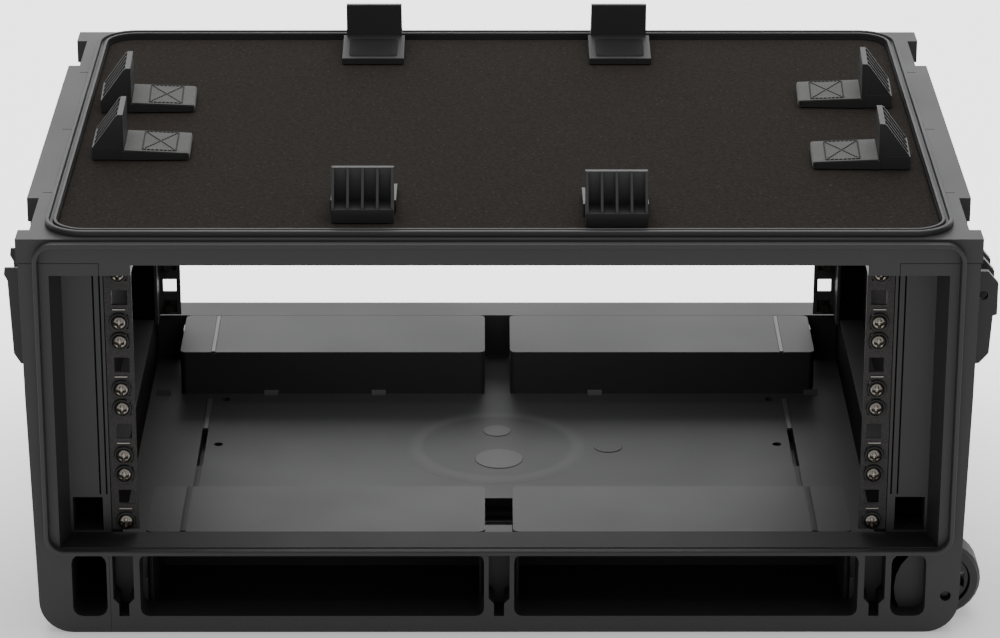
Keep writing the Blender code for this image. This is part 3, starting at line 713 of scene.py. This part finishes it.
strap_cloth = webbing("woven_polyester_webbing", "#6a6c69", "#3c3e3b")
thread = moulded_plastic("bonded_nylon_thread", "#0d0d0d", 0.4, 0.6)
strap_top = (0.0070, 0.0048)            # height of the strap at the upright and at the tip
strap_start, strap_tip = -0.0004, -0.0417
cloth_thickness = 0.0012
outer_run = fillet_path([(strap_start, strap_top[0]), (strap_tip, strap_top[1]), (strap_tip, 0.0003),
                         (-0.0390, 0.0001)], 0.0016)
inner_run = fillet_path([(strap_start, strap_top[0] - cloth_thickness),
                         (-0.0405, strap_top[1] - cloth_thickness), (-0.0405, 0.0006),
                         (-0.0390, 0.0004)], 0.0006)
half_width = 0.0200
for name in sewn:
    t = np.linspace(-1, 1, 41)
    thin = 0.00035 * np.abs(t) ** 10
    ripple = 0.00008 * np.cos(t * 41 * math.pi / 2)
    tangent = np.gradient(outer_run, axis=0)
    normal = np.stack([-tangent[:, 1], tangent[:, 0]], 1)
    normal = normal / np.linalg.norm(tangent, axis=1, keepdims=True)
    face = outer_run[:, None, :] + normal[:, None, :] * (thin + ripple - 0.0001)[None, :, None]
    lining = np.repeat(inner_run[::-1][:, None, :], len(t), axis=1)
    run = np.concatenate([face, lining])
    width = np.broadcast_to(t * half_width, run.shape[:2])
    points = set_down(np.stack([run[..., 0], width, run[..., 1]], -1), name)
    strap = skin("webbing_" + name, points, True)
    layer = strap.data.uv_layers.new(name="strap_mm")
    x, y, heading = places[name]
    c, s = math.cos(math.radians(heading)), math.sin(math.radians(heading))
    co = points_of(strap) - np.array([x, y, deck_top])
    along_strap = c * co[:, 0] + s * co[:, 1]
    flat_u = along_strap + np.where(np.abs(along_strap) > 0.0405, co[:, 2], 0)
    flat_v = -s * co[:, 0] + c * co[:, 1]
    loops = np.empty(len(strap.data.loops), int)
    strap.data.loops.foreach_get("vertex_index", loops)
    layer.data.foreach_set("uv", (np.stack([flat_u, flat_v], 1)[loops] * 1000.0).ravel())
    close_holes(strap)
    soften(strap, 50.0)
    finish_piece(strap, "case", strap_cloth, "strap_" + name)

    # Stitches: short capsules laid end to end round a box and along its two diagonals.
    box_u, box_v = np.array([-0.0332, -0.0118]), np.array([-0.0178, 0.0178])
    corner = np.array([[box_u[0], box_v[0]], [box_u[1], box_v[0]], [box_u[1], box_v[1]],
                       [box_u[0], box_v[1]]])
    legs = [(corner[k], corner[(k + 1) % 4]) for k in range(4)]
    legs += [(corner[0], corner[2]), (corner[1], corner[3])]
    pitch, half_length, thickness = 0.0026, 0.00115, 0.00060
    seeds, ways = [], []
    for a, b in legs:
        count = int(np.linalg.norm(b - a) / pitch)
        seeds.append(a + (b - a) * ((np.arange(count) + 0.5) / count)[:, None])
        ways.append(np.tile((b - a) / np.linalg.norm(b - a), (count, 1)))
    seeds, ways = np.concatenate(seeds), np.concatenate(ways)
    ring = np.linspace(0, 2 * math.pi, 6, endpoint=False)
    shape_t = np.array([-1.0, -0.8, 0.0, 0.8, 1.0])
    shape_r = np.array([0.15, 0.8, 1.0, 0.8, 0.15]) * thickness
    cu = seeds[:, None, None, 0] + ways[:, None, None, 0] * shape_t[None, :, None] * half_length \
        - ways[:, None, None, 1] * (shape_r[:, None] * np.cos(ring))[None]
    cv = seeds[:, None, None, 1] + ways[:, None, None, 1] * shape_t[None, :, None] * half_length \
        + ways[:, None, None, 0] * (shape_r[:, None] * np.cos(ring))[None]
    top = strap_top[1] + (cu - strap_tip) * (strap_top[0] - strap_top[1]) / (strap_start - strap_tip)
    cw = top + (shape_r[:, None] * np.sin(ring))[None] + 0.00012
    grid = set_down(np.stack([cu, cv, cw], -1), name)
    n, rows, columns = grid.shape[:3]
    base = (np.arange(n) * rows * columns)[:, None, None]
    r, q = np.arange(rows - 1)[None, :, None], np.arange(columns)[None, None, :]
    quad = np.stack([base + r * columns + q, base + r * columns + (q + 1) % columns,
                     base + (r + 1) * columns + (q + 1) % columns,
                     base + (r + 1) * columns + q], -1).reshape(-1, 4)
    ends = base[:, 0] + np.arange(columns)[None, :]
    mesh = bpy.data.meshes.new("stitching_" + name)
    mesh.from_pydata(grid.reshape(-1, 3).tolist(), [],
                     quad.tolist() + ends[:, ::-1].tolist() + (ends + (rows - 1) * columns).tolist())
    stitching = bpy.data.objects.new("stitching_" + name, mesh)
    bpy.context.scene.collection.objects.link(stitching)
    close_holes(stitching)
    soften(stitching, 70.0)
    finish_piece(stitching, "case", thread)


# ------------------------------------------------------------------ floor and shelf marks
# Where the melt entered the tool the floor keeps a broad paler ring round a duller disc, with
# three low round blanks.  A narrow strip runs along each side over shelves and floor, painted paler as
# a highlight on the rear shelf and far floor and darker as shade on the near floor and front shelf.
# Small tabs in painted shade stand at the foot of the rear shelves, and the deck's margins carry short
# dashes in painted shade.

def flow_mark(name, colour, cx, cy, inner, outer):
    """Floor plastic whose tone rises softly between two radii about (cx, cy) and falls again outside."""
    mat = moulded_plastic(name, colour, 0.9, 0.5, 0.42)
    tree = mat.node_tree
    shader = tree.nodes["Principled BSDF"]
    where = add(tree, "ShaderNodeTexCoord").outputs["Object"]
    flat = add(tree, "ShaderNodeVectorMath", {"operation": "MULTIPLY"}, {0: where})
    flat.inputs[1].default_value = (1.0, 1.0, 0.0)
    away = add(tree, "ShaderNodeVectorMath", {"operation": "DISTANCE"}, {0: flat.outputs["Vector"]})
    away.inputs[1].default_value = (cx, cy, 0.0)
    rise = add(tree, "ShaderNodeMapRange", {"interpolation_type": "SMOOTHSTEP"},
               {"Value": away.outputs["Value"]}, From_Min=inner - 0.002, From_Max=inner + 0.003)
    fall = add(tree, "ShaderNodeMapRange", {"interpolation_type": "SMOOTHSTEP"},
               {"Value": away.outputs["Value"]}, From_Min=inner + 0.004, From_Max=outer,
               To_Min=1.0, To_Max=0.12)
    band = add(tree, "ShaderNodeMath", {"operation": "MULTIPLY"}, {0: rise.outputs["Result"],
                                                                   1: fall.outputs["Result"]})
    tone = add(tree, "ShaderNodeMix", {"data_type": "RGBA"}, {"Factor": band.outputs["Value"]})
    tone.inputs[6].default_value = srgb(colour)
    tone.inputs[7].default_value = tuple(c * 2.1 for c in srgb(colour)[:3]) + (1.0,)
    tree.links.new(tone.outputs[2], shader.inputs["Base Color"])
    return mat


def disc(name, cx, cy, z, profile, sides=96):
    """Low solid of revolution about a vertical line; the profile lists (radius, height above z)."""
    profile = np.array(profile, float)
    turn = np.linspace(0, 2 * math.pi, sides, endpoint=False)
    grid = np.stack([cx + profile[:, :1] * np.cos(turn), cy + profile[:, :1] * np.sin(turn),
                     z + profile[:, 1:] + 0 * turn], -1)
    piece = skin(name, grid, False, True, True)
    soften(piece, 15.0)
    return piece


shelf_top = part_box("shelf_rear_left")[1].z
gate_x, gate_y = -0.0008, 0.0228
flow = flow_mark("flow_marked_polyethylene", "#232324", gate_x, gate_y, 0.0500, 0.0630)
halo = disc("flow_ring", gate_x, gate_y, floor_top, [
    (0.0640, -0.0002), (0.0640, 0.00003), (0.0001, 0.00003)])
finish_piece(halo, "case", flow)
blank_plastic = moulded_plastic("polished_polyethylene", "#333333", 0.9, 0.46, 0.42)
for name, cx, cy, radius, dress in (("far", -0.0005, 0.0488, 0.0095, blank_plastic),
                                    ("near", 0.0007, 0.0007, 0.0160, blank_plastic),
                                    ("side", 0.0746, 0.0210, 0.0095, flow)):
    blank = disc("raised_blank_" + name, cx, cy, floor_top, [
        (radius, -0.0002), (radius, 0.0002), (radius - 0.0003, 0.0004), (0.0001, 0.0004)])
    finish_piece(blank, "case", dress)

# Paler plastic paints a highlight on lit strips; darker plastic paints shade on strips and tabs.
strip_painted_highlight = moulded_plastic("rubbed_polyethylene", "#383839", 0.9, 0.36)
painted_shade_plastic = moulded_plastic("unrubbed_polyethylene", "#161617", 0.9, 0.6)
# Each strip: name, distance from the middle, half width, its two ends, the surface it lies on, how
# far it stands up and its plastic: pale for a painted highlight, dark for painted shade.
strips = (("rear_shelf", 0.1980, 0.0013, 0.1165, 0.1845, shelf_top, 0.0003, strip_painted_highlight),
          ("floor_far", 0.2000, 0.0016, 0.0515, 0.1045, floor_top, 0.0010, strip_painted_highlight),
          ("floor_near", 0.2000, 0.0018, -0.1140, -0.0115, floor_top, 0.0003, painted_shade_plastic),
          ("front_shelf", 0.1980, 0.0020, -0.1845, -0.1165, shelf_top, 0.0002, painted_shade_plastic))
for lr, side in ((-1, "left"), (1, "right")):
    for part_name, x, half_width, y0, y1, z, height, dress in strips:
        section = round_section([(-half_width, -0.0004), (-half_width, height), (half_width, height),
                                 (half_width, -0.0004)], 0.0002)
        run = np.linspace(y0, y1, 12)[:, None]
        grid = np.stack([lr * x + section[None, :, 0] + 0 * run, run + 0 * section[None, :, 0],
                         z + section[None, :, 1] + 0 * run], -1)
        strip = skin("wear_strip_%s_%s" % (side, part_name), grid, False, True, True)
        soften(strip, 20.0)
        finish_piece(strip, "case", dress)

# Small gusset tabs at the foot of the rear shelves' walls, in painted shade.
for k, x in enumerate((-0.2330, -0.1580, -0.0830, 0.0680, 0.2190)):
    wedge = round_section([(0.1125, -0.0003), (0.1165, -0.0003), (0.1165, 0.0030),
                           (0.1155, 0.0030)], 0.0004)
    across = np.linspace(-0.0050, 0.0050, 8)[:, None]
    grid = np.stack([x + across + 0 * wedge[None, :, 0], wedge[None, :, 0] + 0 * across,
                     floor_top + wedge[None, :, 1] + 0 * across], -1)
    gusset = skin("shelf_gusset_%d" % (k + 1), grid, False, True, True)
    soften(gusset, 40.0)
    finish_piece(gusset, "case", painted_shade_plastic)

# Shallow dashes pressed into the deck's side margins, drawn as flat marks in painted shade that stand for
# dark blind slots.
for lr, side in ((-1, "left"), (1, "right")):
    for k, y in enumerate((-0.1250, -0.0025, 0.1175)):
        across = np.linspace(-0.0036, 0.0036, 8)[:, None]
        dash = round_section([(-0.0006, -0.0004), (-0.0006, 0.00008), (0.0006, 0.00008),
                              (0.0006, -0.0004)], 0.0001)
        grid = np.stack([lr * 0.2800 + across + 0 * dash[None, :, 0], y + dash[None, :, 0] + 0 * across,
                         deck_top + dash[None, :, 1] + 0 * across], -1)
        mark = skin("deck_dash_%s_%d" % (side, k + 1), grid, False, True, True)
        soften(mark, 50.0)
        finish_piece(mark, "case", painted_shade_black)


# ------------------------------------------------------------------ wheels and axles
# Two spoked wheels in arches at the foot of the right side: a hard hub with a soft tyre moulded
# over it, on a black steel pin whose end lies sunk in a bore of the sealing face.
tyre_rubber = moulded_plastic("polyurethane_tyre", "#2b2b2b", 1.0, 0.6)
hub_nylon = moulded_plastic("glass_filled_nylon", "#161616", 0.6, 0.4)
axle_steel = plated("black_zinc_steel", "#3a3836", 0.3)
hub_radius = 0.0182
for fb, side in ((-1, "front"), (1, "rear")):
    wheel = copy_solid("road_wheel_" + side, "wheel_" + side)
    low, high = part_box("wheel_" + side)
    hub = (low + high) / 2
    round_edges(wheel, 0.0007, 3, 30.0)
    wheel.data.materials.append(tyre_rubber)
    wheel.data.materials.append(hub_nylon)
    for face in wheel.data.polygons:
        from_axle = math.hypot(face.center.x - hub.x, face.center.z - hub.z)
        face.material_index = int(from_axle < hub_radius)
    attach(wheel, "wheel_" + side)
    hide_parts("wheel_" + side)
    first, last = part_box("axle_" + side)
    inner = last.y if fb < 0 else first.y
    length = last.y - first.y
    pin = [(0.0030, 0.0), (0.0030, length - 0.0007), (0.0027, length - 0.0001), (0.0023, length),
           (0.0001, length)]
    axle = turned("axle_pin_" + side, hub.x, hub.z, inner, pin, fb, 36)
    finish_piece(axle, "case", axle_steel, "axle_" + side)


# ------------------------------------------------------------------ handles
# A carry handle folds into a recess in each side, and a tow handle slides out at the foot of the
# left side.  Both are bent steel rod, painted black, with soft grooved grips moulded over them.

def tube(name, path, radius, normal, sides=18):
    """Carry a circle along a path in one plane: centre + radius (cos a across + sin a normal),
    where across is the plane's normal crossed with the path's direction.  The radius may vary."""
    path, normal = np.asarray(path, float), np.asarray(normal, float)
    along = np.gradient(path, axis=0)
    along /= np.linalg.norm(along, axis=1, keepdims=True)
    across = np.cross(normal, along)
    a = np.linspace(0, 2 * math.pi, sides, endpoint=False)
    size = np.broadcast_to(radius, len(path))[:, None, None]
    grid = path[:, None, :] + size * (np.cos(a)[None, :, None] * across[:, None, :]
                                      + np.sin(a)[None, :, None] * normal[None, None, :])
    piece = skin(name, grid, False, True, True)
    soften(piece, 45.0)
    return piece


rod_paint = powder_coat("satin_black_enamel", "#1c1b1b")
grip_rubber = moulded_plastic("thermoplastic_elastomer", "#1a1a1a", 0.8, 0.66)
pivot_x, pivot_z, grip_z = 0.276, 0.178, 0.127
for lr, side in ((-1, "left"), (1, "right")):
    x = lr * pivot_x
    route = fillet_path([(x, -0.072, pivot_z), (x, -0.059, pivot_z), (x, -0.0535, grip_z),
                         (x, 0.0535, grip_z), (x, 0.059, pivot_z), (x, 0.072, pivot_z)], 0.009, 8)
    rod = tube("carry_rod_" + side, route, 0.0036, (1, 0, 0))
    finish_piece(rod, "carry_handle_" + side, rod_paint, "carry_handle_" + side)
    y = np.linspace(-0.043, 0.043, 90)
    ends = np.clip((np.abs(y) - 0.0405) / 0.0025, 0, 1)
    swell = 0.0052 + 0.0003 * np.cos(y * 2 * math.pi / 0.0215) - 0.0012 * ends
    grip = tube("carry_grip_" + side, np.stack([x + 0 * y, y, grip_z + 0 * y], 1), swell, (1, 0, 0), 24)
    finish_piece(grip, "carry_handle_" + side, grip_rubber)

tow_x, tow_y, tow_z, tow_end = -0.277, 0.062, 0.014, 0.110
tow_route = fillet_path([(tow_end, -tow_y, tow_z), (tow_x, -tow_y, tow_z), (tow_x, tow_y, tow_z),
                         (tow_end, tow_y, tow_z)], 0.012, 10)
tow_rod = tube("tow_rod", tow_route, 0.0050, (0, 0, 1))
finish_piece(tow_rod, "pull_handle", rod_paint, "pull_handle")
y = np.linspace(-0.047, 0.047, 90)
ends = np.clip((np.abs(y) - 0.0445) / 0.0025, 0, 1)
swell = 0.0062 + 0.0003 * np.cos(y * 2 * math.pi / 0.0235) - 0.0010 * ends
tow_grip = tube("tow_grip", np.stack([tow_x + 0 * y, y, tow_z + 0 * y], 1), swell, (0, 0, 1), 24)
finish_piece(tow_grip, "pull_handle", grip_rubber)
